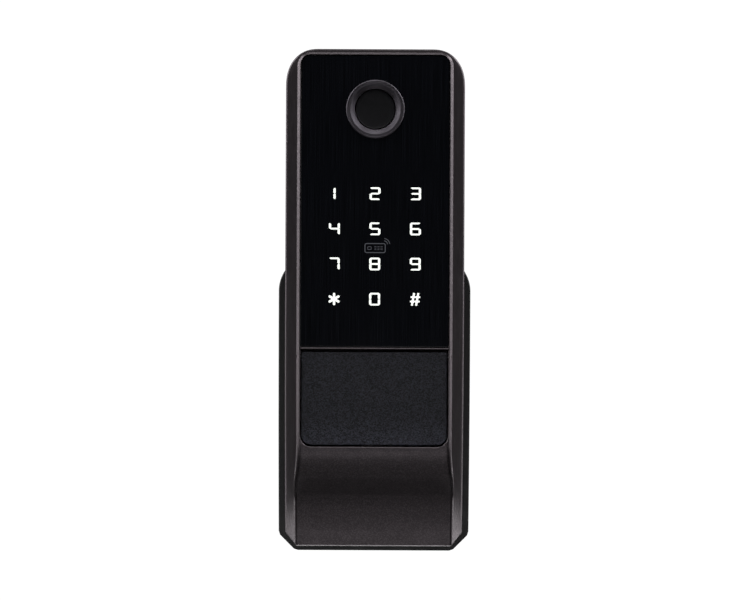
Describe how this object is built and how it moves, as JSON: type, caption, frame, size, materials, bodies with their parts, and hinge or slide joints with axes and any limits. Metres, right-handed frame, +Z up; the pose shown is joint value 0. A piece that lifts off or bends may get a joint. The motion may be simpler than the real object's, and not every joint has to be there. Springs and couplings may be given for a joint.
{
  "type": "keypad smart lock outdoor unit",
  "caption": "Outdoor unit of a keypad smart lock: lit touch keys, fingerprint reader, flap over a key cylinder, and a rear tailpiece and posts that go through the door.",
  "frame": {"origin": "on the door's surface, behind the middle of the housing, at the back face of the base plate", "axes": "+X to the right as seen from the front, +Z up, and the front faces -Y, so +Y goes into the door"},
  "size_m": [0.0698, 0.0689, 0.1821],
  "materials": {
    "bronze_paint": "satin dark bronze powder coat with a fine metallic fleck",
    "panel_black": "hard-coated black acrylic over fine vertical brushing",
    "cover_plastic": "black plastic with a fine spark-eroded grain",
    "plate_black": "satin black moulded plastic",
    "rubber": "matt black rubber",
    "sensor_black": "matt black",
    "ring_metal": "dark anodised, turned",
    "steel": "zinc plated",
    "brass": "turned",
    "circuit_board": "green solder mask",
    "white_plastic": "moulded",
    "copper": "bare copper track on film",
    "key_light": "diffused white light-emitting diode, lit"
  },
  "bodies": {
    "root": {"housing": "bronze_paint", "front_panel": "panel_black", "base_plate": "plate_black", "panel_adhesive": "rubber", "door_gasket": "rubber", "cable_grommet": "rubber", "fingerprint_sensor": "sensor_black", "port_tongue": "sensor_black", "tamper_switch": "sensor_black", "buzzer": "sensor_black", "fingerprint_ring": "ring_metal", "cover_hinge_pin": "steel", "catch_magnet": "steel", "cylinder_nut": "steel", "port_shell": "steel", "rear_cover": "steel", "mounting_post_upper": "steel", "mounting_post_lower": "steel", "rear_screw_1": "steel", "rear_screw_2": "steel", "rear_screw_3": "steel", "rear_screw_4": "steel", "driver_pin_1": "steel", "driver_pin_2": "steel", "driver_pin_3": "steel", "driver_pin_4": "steel", "cylinder_body": "brass", "reader_nut": "brass", "board_spacer_left": "brass", "board_spacer_right": "brass", "touch_board": "circuit_board", "main_board": "circuit_board", "port_board": "circuit_board", "light_guide": "white_plastic", "harness_socket": "white_plastic", "reader_module": "white_plastic", "card_antenna": "copper", "reader_cable": "copper", "key_led_1": "key_light", "key_led_2": "key_light", "key_led_3": "key_light", "key_led_4": "key_light", "key_led_5": "key_light", "key_led_6": "key_light", "key_led_7": "key_light", "key_led_8": "key_light", "key_led_9": "key_light", "key_led_star": "key_light", "key_led_0": "key_light", "key_led_hash": "key_light"},
    "key_cover": {"key_cover": "cover_plastic", "cover_magnet": "steel"},
    "key_barrel": {"cylinder_plug": "brass", "plug_clip": "steel", "tailpiece": "steel", "key_pin_1": "brass", "key_pin_2": "brass", "key_pin_3": "brass", "key_pin_4": "brass"},
    "tamper_plunger": {"tamper_plunger": "white_plastic"}
  },
  "joints": [
    {"name": "cover_hinge", "type": "hinge", "parent": "root", "child": "key_cover", "pos_m": [0, -0.0217, -0.021], "axis": [-1, 0, 0], "range_deg": [0, 100]},
    {"name": "key_turn", "type": "hinge", "parent": "root", "child": "key_barrel", "pos_m": [0, 0, -0.0373], "axis": [0, 1, 0], "range_deg": [-90, 90]},
    {"name": "tamper_press", "type": "slide", "parent": "root", "child": "tamper_plunger", "axis": [0, -1, 0], "range_m": [0, 0.0016], "stiffness_N_per_m": 200}
  ]
}
